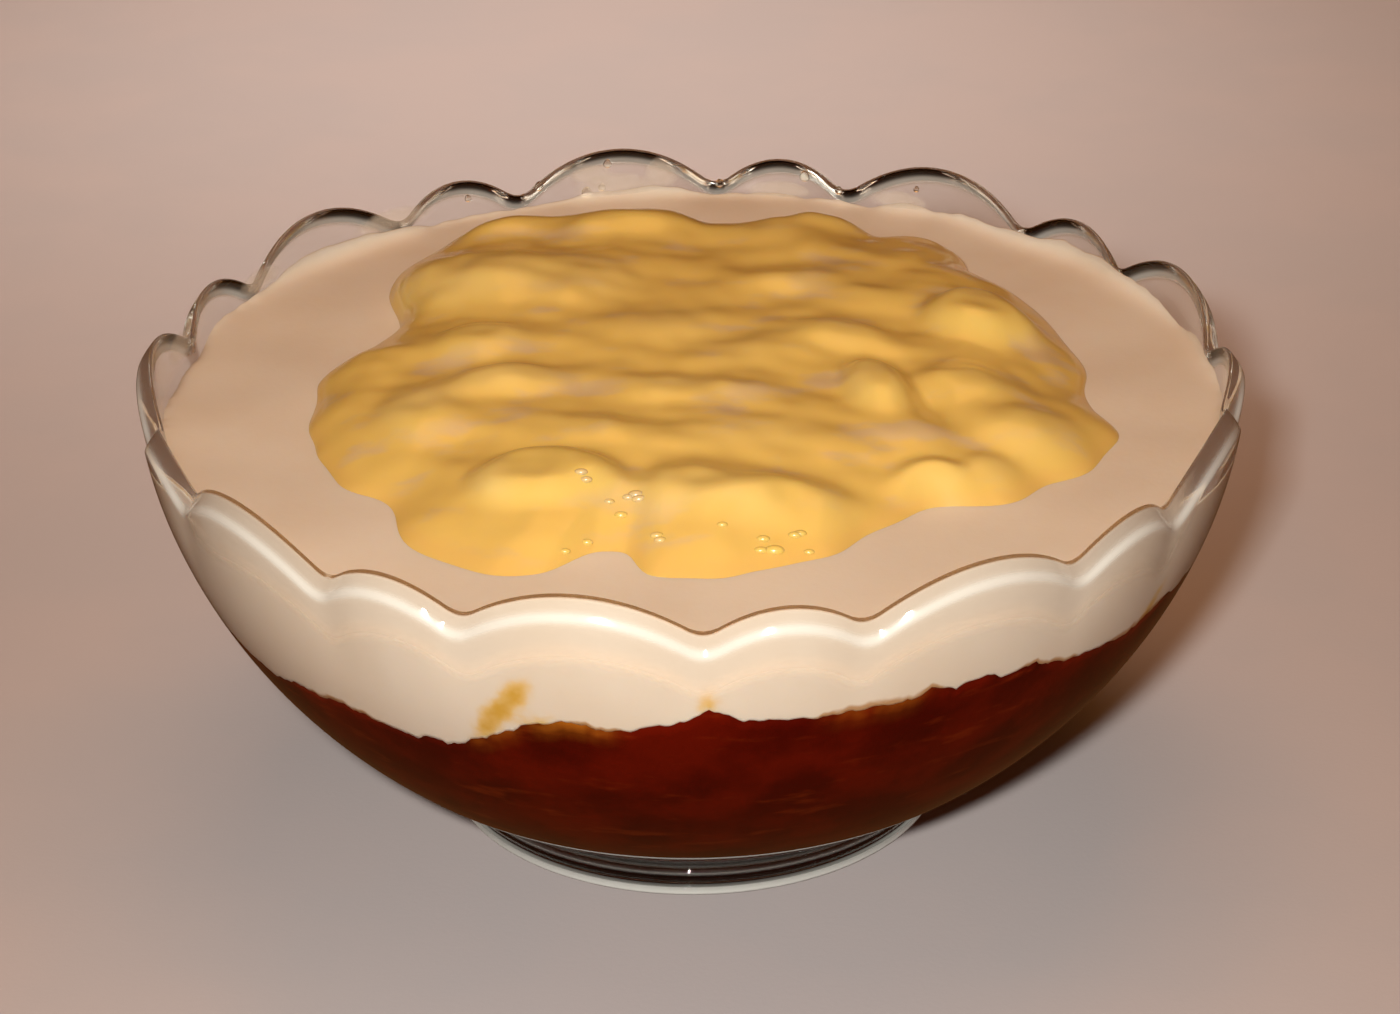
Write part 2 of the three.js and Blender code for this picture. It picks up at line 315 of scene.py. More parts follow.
class Bench:
    """Node tree of one finish, with a short method for each kind of node that the finishes share."""

    def __init__(self, name: str) -> None:
        """Starts a material whose one shader goes straight to the output.

        Args:
            name: name of the material.
        """
        self.material = bpy.data.materials.new(name)
        self.material.use_nodes = True
        self.tree = self.material.node_tree
        self.tree.nodes.clear()
        self.shader = self.node("ShaderNodeBsdfPrincipled")
        output = self.node("ShaderNodeOutputMaterial")
        self.tree.links.new(self.shader.outputs["BSDF"], output.inputs["Surface"])
        self.place = self.node("ShaderNodeTexCoord").outputs["Object"]

    def node(self, kind: str) -> bpy.types.Node:
        """New node of one kind."""
        return self.tree.nodes.new(kind)

    def put(self, value: Socket | float | tuple, target: Socket) -> None:
        """Links a socket to an input, or sets the input to a plain value.

        Args:
            value: output of another node, or a number, colour or direction.
            target: the input.
        """
        if isinstance(value, bpy.types.NodeSocket):
            self.tree.links.new(value, target)
        else:
            target.default_value = value

    def shade(self, **values: Socket | float | tuple) -> None:
        """Sets or links the shader's inputs.

        Args:
            values: a value for each input, whose name is in small letters with underscores for spaces.
        """
        for name, value in values.items():
            title = " ".join("IOR" if part == "ior" else part.capitalize() for part in name.split("_"))
            self.put(value, self.shader.inputs[title])

    def noise(self, size: float, detail: float, stretch: Triple = (1.0, 1.0, 1.0)) -> Socket:
        """Cloudy values from 0 to 1.

        Args:
            size: usual size of a cloud, in millimetres.
            detail: how many finer layers lie over it.
            stretch: how many times longer the clouds are along X, Y and Z.

        Returns:
            The noise's value.
        """
        mapping = self.node("ShaderNodeMapping")
        self.put(self.place, mapping.inputs["Vector"])
        mapping.inputs["Scale"].default_value = [1.0 / (size * MM * part) for part in stretch]
        texture = self.node("ShaderNodeTexNoise")
        self.put(mapping.outputs["Vector"], texture.inputs["Vector"])
        texture.inputs["Scale"].default_value = 1.0
        texture.inputs["Detail"].default_value = detail
        return texture.outputs[0]

    def trait(self, name: str) -> Socket:
        """Value that the mesh keeps for its points.

        Args:
            name: name of the attribute.

        Returns:
            The attribute's value.
        """
        attribute = self.node("ShaderNodeAttribute")
        attribute.attribute_name = name
        return attribute.outputs["Fac"]

    def remap(self, value: Socket, span: Pair, to: Pair = WHOLE) -> Socket:
        """Stretches a span of values over another one, smoothly, and holds them at its ends.

        Args:
            value: value to stretch.
            span: first and last value of the span.
            to: what those two become.

        Returns:
            The stretched value.
        """
        node = self.node("ShaderNodeMapRange")
        node.interpolation_type = "SMOOTHSTEP"
        self.put(value, node.inputs["Value"])
        for title, end in zip(("From Min", "From Max", "To Min", "To Max"), (*span, *to)):
            node.inputs[title].default_value = end
        return node.outputs["Result"]

    def sums(self, operation: str, first: Socket | float, second: Socket | float) -> Socket:
        """Result of one sum of two values.

        Args:
            operation: kind of sum, such as ADD or MULTIPLY.
            first: first value.
            second: second value.

        Returns:
            The result.
        """
        node = self.node("ShaderNodeMath")
        node.operation = operation
        self.put(first, node.inputs[0])
        self.put(second, node.inputs[1])
        return node.outputs[0]

    def blend(self, share: Socket, first: Socket | tuple, second: Socket | tuple) -> Socket:
        """Colour between two colours.

        Args:
            share: share of the second colour, from 0 to 1.
            first: first colour.
            second: second colour.

        Returns:
            The mixed colour.
        """
        node = self.node("ShaderNodeMix")
        node.data_type = "RGBA"
        self.put(share, node.inputs[0])
        self.put(first, node.inputs[6])
        self.put(second, node.inputs[7])
        return node.outputs[2]

    def relief(self, height: Socket, depth: float, strength: float = 1.0) -> Socket:
        """Normal of a fine relief.

        Args:
            height: height of the relief, from 0 to 1.
            depth: what a height of 1 stands for, in millimetres.
            strength: how much of the relief shows.

        Returns:
            The normal.
        """
        node = self.node("ShaderNodeBump")
        node.inputs["Strength"].default_value = strength
        node.inputs["Distance"].default_value = depth * MM
        self.put(height, node.inputs["Height"])
        return node.outputs["Normal"]


@dataclass(frozen=True)
class ClearGlass:
    """Clear pressed glass, a little wavy from the mould, with a faint film of wear, and whitish bands of
    painted light where the mesh marks them.
    """

    name: str = "clear_pressed_glass"
    body: Tint = (250, 251, 249)
    ior: float = 1.5
    # How clear and how rough the glass turns where painted light and whitening are marked on it.
    worn_clarity: float = 0.3
    worn_roughness: float = 0.2
    film_size: float = 9.0
    film_roughness: float = 0.03
    wave_size: float = 26.0
    wave_depth: float = 0.06

    def material(self) -> bpy.types.Material:
        """Makes the finish: clear body, a cloudy film, a slow waviness, and whitish bands of painted light.

        Where the mesh marks them, the glass turns rougher, whitish and less clear: a painted highlight along
        the rim, painted light lines on the foot and a whitish base.

        Returns:
            The material.
        """
        bench = Bench(self.name)
        worn = bench.trait("worn")
        film = bench.remap(bench.noise(self.film_size, 4.0), (0.45, 0.75), (0.0, self.film_roughness))
        rough = bench.sums("ADD", film, bench.remap(worn, WHOLE, (0.0, self.worn_roughness)))
        waviness = bench.relief(bench.noise(self.wave_size, 1.0), self.wave_depth)
        bench.shade(base_color=linear(self.body), roughness=rough, normal=waviness, ior=self.ior)
        # Painted light: the marked bands turn less clear and show the whitish body, a painted highlight on
        # the rim and painted light lines on the foot.
        bench.shade(transmission_weight=bench.remap(worn, WHOLE, (1.0, self.worn_clarity)))
        return bench.material


@dataclass(frozen=True)
class ClearDrop:
    """Clear drop of syrup on the glass."""

    name: str = "clear_syrup_drop"
    body: Tint = (252, 249, 243)
    ior: float = 1.36
    skin_size: float = 0.8
    skin_depth: float = 0.02
    skin_roughness: float = 0.04

    def material(self) -> bpy.types.Material:
        """Makes the finish: clear body with a barely uneven skin.

        Returns:
            The material.
        """
        bench = Bench(self.name)
        skin = bench.noise(self.skin_size, 2.0)
        rough = bench.remap(skin, (0.4, 0.7), (0.0, self.skin_roughness))
        bench.shade(base_color=linear(self.body), roughness=rough, ior=self.ior)
        bench.shade(transmission_weight=1.0, normal=bench.relief(skin, self.skin_depth))
        return bench.material


@dataclass(frozen=True)
class StewedFruit:
    """Cooked fruit pressed to the glass: very dark red-brown, wet, with faint paler fibres."""

    name: str = "stewed_fruit"
    body: Tint = (88, 11, 2)
    shade: Tint = (64, 4, 1)
    fibre: Tint = (118, 38, 9)
    seep: Tint = (150, 82, 20)
    cloud_size: float = 16.0
    fibre_size: float = 5.5
    fibre_stretch: Triple = (2.6, 2.6, 0.7)
    fibre_share: float = 0.5
    seep_size: float = 7.0
    grain_size: float = 3.0
    grain_depth: float = 0.25
    roughness: Pair = (0.32, 0.5)

    def material(self) -> bpy.types.Material:
        """Makes the finish: clouds of two browns, stretched fibres, and a paler seep along the top.

        Returns:
            The material.
        """
        bench = Bench(self.name)
        clouds = bench.remap(bench.noise(self.cloud_size, 4.0), (0.36, 0.66))
        fibres = bench.remap(bench.noise(self.fibre_size, 5.0, self.fibre_stretch), (0.58, 0.74))
        patches = bench.remap(bench.noise(self.seep_size, 2.0), (0.25, 0.6))
        colour = bench.blend(clouds, linear(self.shade), linear(self.body))
        colour = bench.blend(bench.sums("MULTIPLY", fibres, self.fibre_share), colour, linear(self.fibre))
        colour = bench.blend(bench.sums("MULTIPLY", bench.trait("seep"), patches), colour, linear(self.seep))
        grain = bench.relief(bench.noise(self.grain_size, 4.0), self.grain_depth)
        bench.shade(base_color=colour, roughness=bench.remap(fibres, WHOLE, self.roughness))
        bench.shade(normal=grain, specular_ior_level=0.0)
        return bench.material


@dataclass(frozen=True)
class SoftCream:
    """Thick cream: a pale satin with gentle streaks, stained where juice has seeped into it.

    Attributes:
        depth: share of the light that goes in and is scattered.
        depth_scale: how far it goes in, in millimetres.
        depth_tint: how far red, green and blue go, as shares of that.
        film: how dense a thin film of it is, or 0 for solid cream.
    """

    name: str = "soft_cream"
    body: Tint = (226, 210, 194)
    warm: Tint = (222, 204, 186)
    seep: Tint = (222, 180, 104)
    juice: Tint = (206, 156, 46)
    stain: Tint = (176, 118, 52)
    depth: float = 0.35
    depth_scale: float = 3.0
    depth_tint: Triple = (1.0, 0.7, 0.45)
    film: float = 0.0
    streak_size: float = 24.0
    streak_stretch: Triple = (1.0, 1.0, 2.0)
    ragged_size: float = 3.2
    ragged_share: float = 0.9
    grain_size: float = 1.3
    grain_depth: float = 0.05
    roughness: Pair = (0.42, 0.55)

    def material(self) -> bpy.types.Material:
        """Makes the finish: two creams in streaks, ragged yellow seeps and a tan edge along the stew.

        A film of it is clearer towards its edges, and the less dense a film, the more uneven it is.

        Returns:
            The material.
        """
        bench = Bench(self.name)
        streaks = bench.remap(bench.noise(self.streak_size, 4.0, self.streak_stretch), (0.35, 0.68))
        colour = bench.blend(streaks, linear(self.body), linear(self.warm))
        uneven = bench.sums("SUBTRACT", bench.noise(self.ragged_size, 5.0), 0.5)
        ragged = bench.sums("MULTIPLY", uneven, self.ragged_share)
        seeped = bench.trait("seep")
        soaked = bench.sums("ADD", seeped, bench.sums("MULTIPLY", ragged, bench.remap(seeped, (0.0, 0.4))))
        colour = bench.blend(bench.remap(soaked, (0.08, 0.75), (0.0, 0.9)), colour, linear(self.seep))
        colour = bench.blend(bench.remap(soaked, (0.5, 1.15), (0.0, 0.9)), colour, linear(self.juice))
        edge = bench.remap(bench.sums("ADD", bench.trait("edge"), ragged), (0.3, 0.9), (0.0, 0.8))
        colour = bench.blend(edge, colour, linear(self.stain))
        grain = bench.relief(bench.noise(self.grain_size, 3.0), self.grain_depth, 0.6)
        bench.shade(base_color=colour, roughness=bench.remap(streaks, WHOLE, self.roughness))
        bench.shade(normal=grain, specular_ior_level=0.4, subsurface_weight=self.depth)
        bench.shade(subsurface_radius=self.depth_tint, subsurface_scale=self.depth_scale * MM)
        if self.film:
            cover = bench.trait("cover")
            gaps = bench.sums("MULTIPLY", ragged, bench.remap(cover, (0.0, 0.6), (0.0, 1.0 - self.film)))
            bench.shade(alpha=bench.remap(bench.sums("ADD", cover, gaps), (0.1, 0.9), (0.0, self.film)))
        return bench.material


@dataclass(frozen=True)
class CookedCustard:
    """Cooked custard: yellow with a wet skin, richest on its lumps and dull where cream shows through."""

    name: str = "cooked_custard"
    body: Tint = (228, 192, 104)
    pale: Tint = (232, 199, 120)
    sheet: Tint = (226, 187, 100)
    creamy: Tint = (212, 180, 134)
    thin: Tint = (226, 182, 100)
    coat: float = 0.5
    coat_roughness: float = 0.1
    depth: float = 0.3
    depth_scale: float = 3.0
    depth_tint: Triple = (1.0, 0.55, 0.16)
    cloud_size: float = 30.0
    streak_size: float = 10.0
    streak_stretch: Triple = (1.9, 1.0, 1.0)
    skin_size: float = 6.0
    skin_depth: float = 0.1
    roughness: Pair = (0.3, 0.42)

    def material(self) -> bpy.types.Material:
        """Makes the finish: lumps of two yellows on a dull sheet with creamy streaks, and a wet coat.

        Returns:
            The material.
        """
        bench = Bench(self.name)
        clouds = bench.remap(bench.noise(self.cloud_size, 3.0), (0.38, 0.66))
        lumps = bench.blend(clouds, linear(self.body), linear(self.pale))
        drawn_out = bench.noise(self.streak_size, 4.0, self.streak_stretch)
        streaks = bench.remap(drawn_out, (0.53, 0.68), (0.0, 0.9))
        sheet = bench.blend(streaks, linear(self.sheet), linear(self.creamy))
        colour = bench.blend(bench.trait("full"), sheet, lumps)
        colour = bench.blend(bench.trait("thin"), colour, linear(self.thin))
        skin = bench.relief(bench.noise(self.skin_size, 2.0), self.skin_depth, 0.5)
        bench.shade(base_color=colour, roughness=bench.remap(clouds, WHOLE, self.roughness))
        bench.shade(normal=skin, specular_ior_level=0.35, subsurface_weight=self.depth)
        bench.shade(subsurface_radius=self.depth_tint, subsurface_scale=self.depth_scale * MM)
        bench.shade(coat_weight=self.coat, coat_roughness=self.coat_roughness)
        return bench.material


@dataclass(frozen=True)
class PaleTable:
    """Pale, plain table top with a faint paper grain."""

    name: str = "pale_table"
    body: Tint = (203, 192, 195)
    grey: Tint = (199, 190, 194)
    cloud_size: float = 60.0
    grain_size: float = 1.2
    grain_depth: float = 0.06
    roughness: Pair = (0.7, 0.8)

    def material(self) -> bpy.types.Material:
        """Makes the finish: two close tints in wide clouds and a fine grain.

        Returns:
            The material.
        """
        bench = Bench(self.name)
        clouds = bench.remap(bench.noise(self.cloud_size, 3.0), (0.35, 0.65))
        grain = bench.relief(bench.noise(self.grain_size, 2.0), self.grain_depth, 0.5)
        bench.shade(base_color=bench.blend(clouds, linear(self.body), linear(self.grey)))
        bench.shade(roughness=bench.remap(clouds, WHOLE, self.roughness), specular_ior_level=0.2)
        bench.shade(normal=grain)
        return bench.material


class Shell(Enum):
    """Walls of the bowl, as half width and half height of egg-round shells about one middle."""

    OUTSIDE = (115.2, 112.0)
    INSIDE = (111.2, 102.0)
    FILLING = (111.5, 102.3)


@dataclass(frozen=True)
class BowlForm:
    """Sizes of the bowl that its glass and its contents share."""

    middle_z: float = 108.3
    pairs: int = 9
    first_valley: float = 206.8
    valley_z: float = 92.7
    wide_arc: float = 24.2
    wide_rise: float = 8.0
    narrow_rise: float = 5.5
    scallop_power: float = 2.04
    valley_round: float = 1.5
    round_steps: int = 9
    pinch: float = 1.0
    pinch_start: float = 64.3

    def stations(self, wide_steps: int, narrow_steps: int) -> Array:
        """Angles round the rim, with a station in every valley.

        Args:
            wide_steps: steps over a wide scallop.
            narrow_steps: steps over a narrow scallop.

        Returns:
            Rising angles of all the scallops.
        """
        pair_arc = 360.0 / self.pairs
        wide = np.linspace(0.0, self.wide_arc, wide_steps, endpoint=False)
        narrow = np.linspace(self.wide_arc, pair_arc, narrow_steps, endpoint=False)
        starts = self.first_valley + pair_arc * np.arange(self.pairs)
        return (starts[:, None] + np.concatenate([wide, narrow])).ravel()

    def sharp_rise(self, angle: Array) -> tuple[Array, Array]:
        """Rise of the rim with sharp valleys, and the height of the scallop that each angle lies on.

        The rise is that height times 1 less a power of the share of the way from the scallop's middle
        to its valley.

        Args:
            angle: angles round the rim.

        Returns:
            The rise over a sharp valley and the scallop's height, in millimetres.
        """
        pair_arc = 360.0 / self.pairs
        past = (angle - self.first_valley) % pair_arc
        wide = past < self.wide_arc
        along = np.where(wide, past / self.wide_arc, (past - self.wide_arc) / (pair_arc - self.wide_arc))
        peak = np.where(wide, self.wide_rise, self.narrow_rise)
        return peak * (1.0 - np.abs(2.0 * along - 1.0) ** self.scallop_power), peak

    def scallop(self, angle: Array) -> tuple[Array, Array]:
        """Rise of the rim over its rounded valleys, and the swell of the scallop.

        The sharp rise is averaged over near angles, which rounds and lifts the valleys, and is then
        stretched so that a valley lies at 0 again.

        Args:
            angle: angles round the rim.

        Returns:
            The rise in millimetres, and the swell from 0 in a valley to 1 at a scallop's middle.
        """
        near = self.valley_round * np.linspace(-1.0, 1.0, self.round_steps)
        lift = self.sharp_rise(self.first_valley + near)[0].mean()
        peak = self.sharp_rise(angle)[1]
        swell = (self.sharp_rise(angle[..., None] + near)[0].mean(axis=-1) - lift) / (peak - lift)
        return peak * swell, swell

    def rim_z(self, angle: Array) -> Array:
        """Height of the rim's top."""
        return self.valley_z + self.scallop(angle)[0]

    def wall(self, shell: Shell, angle: Array, z: Array) -> Array:
        """Radius of a wall: the ellipse of its shell, drawn in a little under each valley of the rim.

        The pinch grows from its start to the valleys with the share squared times 3 less twice the share.

        Args:
            shell: which wall.
            angle: angles round the bowl.
            z: heights on the wall.

        Returns:
            Radii in millimetres.
        """
        half_width, half_height = shell.value
        round_wall = half_width * np.sqrt(1.0 - ((self.middle_z - z) / half_height) ** 2)
        share = np.clip((z - self.pinch_start) / (self.valley_z - self.pinch_start), 0.0, 1.0)
        return round_wall - self.pinch * (1.0 - self.scallop(angle)[1]) * share**2 * (3.0 - 2.0 * share)

    def wall_rows(self, shell: Shell, angle: Array, low_z: float | Array, high_z: Array, rows: int) -> Array:
        """Rows of wall points, evenly spaced by the swing up the shell.

        The swing is the angle at the shell's middle whose cosine is the height left over its half height.

        Args:
            shell: which wall.
            angle: stations round the bowl.
            low_z: height of the first row.
            high_z: height of the last row at each station.
            rows: number of rows.

        Returns:
            Array of rows, stations and (radius, z).
        """
        half_height = shell.value[1]
        low_swing = np.arccos(np.clip((self.middle_z - low_z) / half_height, -1.0, 1.0))
        high_swing = np.arccos((self.middle_z - high_z) / half_height)
        share = np.linspace(0.0, 1.0, rows)[:, None]
        z = self.middle_z - half_height * np.cos(low_swing + (high_swing - low_swing) * share)
        return np.stack([self.wall(shell, angle[None, :], z), z], axis=-1)

    def shell_floor(self, shell: Shell) -> float:
        """Height of the lowest point of a shell."""
        return self.middle_z - shell.value[1]


@dataclass
class GlassBowl:
    """The clear bowl: low foot, round wall and a rim of wide and narrow scallops with a sloping edge.

    Attributes:
        foot_side: radius and height of each corner of the foot's grooved side.
        foot_cuts: how far each corner of the recess and the foot is cut back for its round.
        rim_drop: how far below the rim's height the outside wall ends.
        rim_facet: way in and up from there to the top of the steep facet.
        rim_apex: how far the round inner edge stands over the rim's height.
        worn_height: how far below the rim's height the band of painted highlight lies.
        worn_width: spread of that band upwards and downwards.
        worn_share: strength of the painted highlight in the middle of that band.
        outer_gap: least way out from the inside wall to the glass that the band is on.
        base_whitening: height and whitening of the foot's base.
        base_power: power of the bell that ends the base's whitening, higher for a sharper end.
        foot_light_lines: height, spread and strength of each painted light line on the foot.
        foot_skin: how far in from the foot's radius its painted light lines and whitened base reach.
    """

    form: BowlForm
    finish: ClearGlass = ClearGlass()
    wide_steps: int = 36
    narrow_steps: int = 24
    wall_steps: int = 46
    foot_radius: float = 52.8
    foot_bevel: float = 0.6
    foot_land: float = 6.0
    foot_recess: float = 2.2
    foot_side: tuple[Pair, ...] = (
        (53.1, 2.5), (52.5, 3.1), (53.3, 4.6), (53.5, 6.1),
        (52.9, 6.7), (53.5, 7.3), (53.7, 8.6), (53.9, 9.1),
    )
    foot_cuts: tuple[float, ...] = (1.2, 0.8, 0.4, 0.4, 0.3, 0.35, 0.6, 0.4, 0.3, 0.35, 0.4, 0.25)
    foot_steps: int = 6
    wall_start_radius: float = 55.6
    rim_drop: float = 4.6
    rim_facet: Pair = (-0.95, 1.7)
    rim_apex: float = 0.8
    rim_inner_drop: float = 2.0
    rim_cuts: tuple[float, ...] = (0.7, 0.8, 2.2, 0.3)
    rim_steps: int = 9
    # Band of painted highlight along the rim's facet: whitish, less clear glass.
    worn_height: float = 3.7
    worn_width: Pair = (1.2, 1.4)
    worn_share: float = 0.62
    outer_gap: float = 2.0
    base_whitening: Pair = (2.5, 0.75)
    base_power: float = 12.0
    # Painted light lines on the foot: whitish bands that stand in for the light lines seen through it.
    foot_light_lines: tuple[Triple, ...] = (
        (4.4, 0.5, 0.06), (5.8, 0.4, 0.26), (7.6, 0.4, 0.16),
        (8.7, 0.5, 0.12), (10.1, 0.35, 0.25), (10.6, 3.0, 0.06),
    )
    foot_skin: float = 1.5

    def foot_rows(self, angle: Array, wall_start: Array) -> Array:
        """Rows of the recess and the foot, up to the start of the wall.

        The section is a chain of corners, each rounded: recess, land, bevel and the foot's grooved side.

        Args:
            angle: stations round the bowl.
            wall_start: (radius, z) where the wall starts.

        Returns:
            Array of rows, stations and (radius, z).
        """
        land_inside = self.foot_radius - self.foot_bevel - self.foot_land
        corners = np.array([
            [land_inside / 2, self.foot_recess],
            [land_inside - self.foot_recess, self.foot_recess],
            [land_inside, 0.0],
            [self.foot_radius - self.foot_bevel, 0.0],
            [self.foot_radius, self.foot_bevel],
            *self.foot_side,
            wall_start,
        ])
        spread = np.repeat(corners[:, None, :], len(angle), axis=1)
        return rounded_path(spread, self.foot_cuts, self.foot_steps)

    def section(self, angle: Array) -> Array:
        """Section of the glass at every station: foot, outside wall, rim and inside wall.

        The rim slopes down and out from a round edge on the inside to a steeper facet and the outside
        wall, and its corners are rounded.

        Args:
            angle: stations round the bowl.

        Returns:
            Array of rings, stations and (radius, z).
        """
        form = self.form
        top = form.rim_z(angle)
        half_width, half_height = Shell.OUTSIDE.value
        start_z = form.middle_z - half_height * np.sqrt(1.0 - (self.wall_start_radius / half_width) ** 2)
        outside = form.wall_rows(Shell.OUTSIDE, angle, start_z, top - self.rim_drop, self.wall_steps)
        floor_z = form.shell_floor(Shell.INSIDE)
        inside = form.wall_rows(Shell.INSIDE, angle, floor_z, top - self.rim_inner_drop, self.wall_steps)
        inside = inside[::-1]
        facet = outside[-1] + np.array(self.rim_facet)
        apex = np.stack([form.wall(Shell.INSIDE, angle, top), top + self.rim_apex], axis=-1)
        corners = np.stack([outside[-2], outside[-1], facet, apex, inside[0], inside[1]])
        rim = rounded_path(corners, self.rim_cuts, self.rim_steps)
        foot = self.foot_rows(angle, np.array([self.wall_start_radius, start_z]))
        return np.concatenate([foot[:-1], outside[:-1], rim[1:-1], inside[1:-1]])

    def worn_edge(self, angle: Array, section: Array) -> Array:
        """Painted light and whitening on the glass: a band of painted highlight round the rim's facet, and
        on the foot painted light lines and a whitish base.

        Each band is a bell of the way from its height, which on the rim spreads less above the band than
        below it. The foot's base is whitened all over and ends sharply, by a bell of a high power.

        Args:
            angle: stations round the bowl.
            section: the section at every station.

        Returns:
            Array of rings and stations, from 0 to 1.
        """
        radius, z = section[..., 0], section[..., 1]
        below = self.form.rim_z(angle) - z
        inside_z = np.clip(z, self.form.shell_floor(Shell.INSIDE), self.form.middle_z)
        outer = radius > self.form.wall(Shell.INSIDE, angle, inside_z) + self.outer_gap
        side = radius > self.foot_radius - self.foot_skin
        above, under = self.worn_width
        width = np.where(below < self.worn_height, above, under)
        # Painted highlight along the rim's facet.
        rim = self.worn_share * bell(below - self.worn_height, width)
        # Painted light lines on the foot, and its whitish base.
        foot = sum(share * bell(z - at, spread) for at, spread, share in self.foot_light_lines)
        base_top, base_share = self.base_whitening
        base = base_share * bell(np.maximum(z, 0.0), base_top, self.base_power)
        return outer * rim + side * (foot + base)

    def build(self) -> bpy.types.Object:
        """Builds the glass as one closed surface, with its painted light and whitening.

        Returns:
            The mesh object.
        """
        angle = self.form.stations(self.wide_steps, self.narrow_steps)
        section = self.section(angle)
        surface = RingSurface(angle, section, self.foot_recess, self.form.shell_floor(Shell.INSIDE))
        return surface.build("clear_bowl", {"worn": self.worn_edge(angle, section)})

    def dress(self, piece: bpy.types.Object) -> None:
        """Puts the bowl in place of its solid, with no part in the soft light between the other pieces."""
        piece.visible_diffuse = False
        settle(piece, self.finish.material(), "glass_bowl")


@dataclass(frozen=True)
class StewLine:
    """Line between stew and cream on the wall: a chain of heights over the stew's middle, made ragged."""

    heights: tuple[Pair, ...] = (
        (15, 0), (60, -1), (100, 1.5), (140, -2), (170, 0), (195, -6), (214, -10.5), (221, -8.2),
        (229, -7.4), (238, -9), (243, -8.8), (247, -5), (252, 0), (256, 3.4), (261, 1.2), (266, 2.6),
        (270, 4.4), (272, 7.2), (276, 4.2), (285, 3.5), (292, 3.9), (297, 5.8), (303, 4.9),
        (308, 3.6), (313, 1.1), (323, -0.2), (330, 1.5), (350, 1),
    )
    blur: float = 1.2
    wall_radius: float = 103.0
    ragged: tuple[Ripples, ...] = (Ripples(31, 9.0, 0.3), Ripples(32, 3.6, 0.2), Ripples(33, 1.9, 0.12))
    middle_z: float = 68.3

    def at_wall(self, angle: Array) -> Array:
        """Height of the line at angles round the wall.

        The chain is joined by straight stretches and averaged over a few near angles, then ripples and the
        height of the stew's middle are added.

        Args:
            angle: angles round the bowl.

        Returns:
            Heights in millimetres.
        """
        at, height = np.array(self.heights).T
        near = self.blur * np.array([-1.0, -0.5, 0.0, 0.5, 1.0])
        line = np.interp(angle[..., None] + near, at, height, period=360.0).mean(axis=-1)
        return self.middle_z + line + ripple_sum(self.ragged, *in_plan(self.wall_radius, angle))


@dataclass
class ApricotStew:
    """The dark fruit that fills the lower part of the bowl, pressed to the glass."""

    form: BowlForm
    line: StewLine
    finish: StewedFruit = StewedFruit()
    stations: int = 720
    wall_steps: int = 44
    top_rings: int = 14
    seep_spots: tuple[Wave, ...] = (Wave(248.5, 3.0, 0.5), Wave(257.0, 4.5, 0.9), Wave(289.0, 5.0, 0.4))
    seep_depth: float = 2.4

    def build(self) -> bpy.types.Object:
        """Builds the stew up to the cream, with its seeps.

        The top runs from the line on the wall to the middle's level with the share of the radius squared.

        Returns:
            The mesh object.
        """
        angle = all_round(self.stations)
        edge_z = self.line.at_wall(angle)
        floor_z = self.form.shell_floor(Shell.FILLING)
        wall = self.form.wall_rows(Shell.FILLING, angle, floor_z, edge_z, self.wall_steps)[1:]
        share = np.linspace(1.0, 0.0, self.top_rings, endpoint=False)[1:, None]
        top_z = self.line.middle_z + (edge_z - self.line.middle_z) * share**2
        top = np.stack([wall[-1, :, 0] * share, top_z], axis=-1)
        section = np.concatenate([wall, top])
        seep = wave_sum(self.seep_spots, angle) * bell(edge_z - section[..., 1], self.seep_depth)
        surface = RingSurface(angle, section, floor_z, self.line.middle_z)
        return surface.build("stewed_apricots", {"seep": np.clip(seep, 0.0, 1.0)})

    def dress(self, piece: bpy.types.Object) -> None:
        """Puts the stew in place of its solid."""
        settle(piece, self.finish.material(), "apricot_stew")


@dataclass(frozen=True)
class Seep:
    """A patch of juice on the cream's wall: its place, half sizes, lean along the wall and strength.

    Its place is an angle and a height over the stew's middle.
    """

    at: float
    over: float
    half_width: float
    half_height: float
    lean: float
    strength: float

    def share(self, angle: Array, over: Array, wall_radius: float) -> Array:
        """Strength of the patch times a bell of the way out of its leaning oval.

        Args:
            angle: angles round the bowl.
            over: heights over the stew's middle.
            wall_radius: radius of the wall there.

        Returns:
            Strengths at those places.
        """
        up = over - self.over
        along = np.radians(away_from(angle, self.at)) * wall_radius - self.lean * up
        return self.strength * bell(np.hypot(along / self.half_width, up / self.half_height))


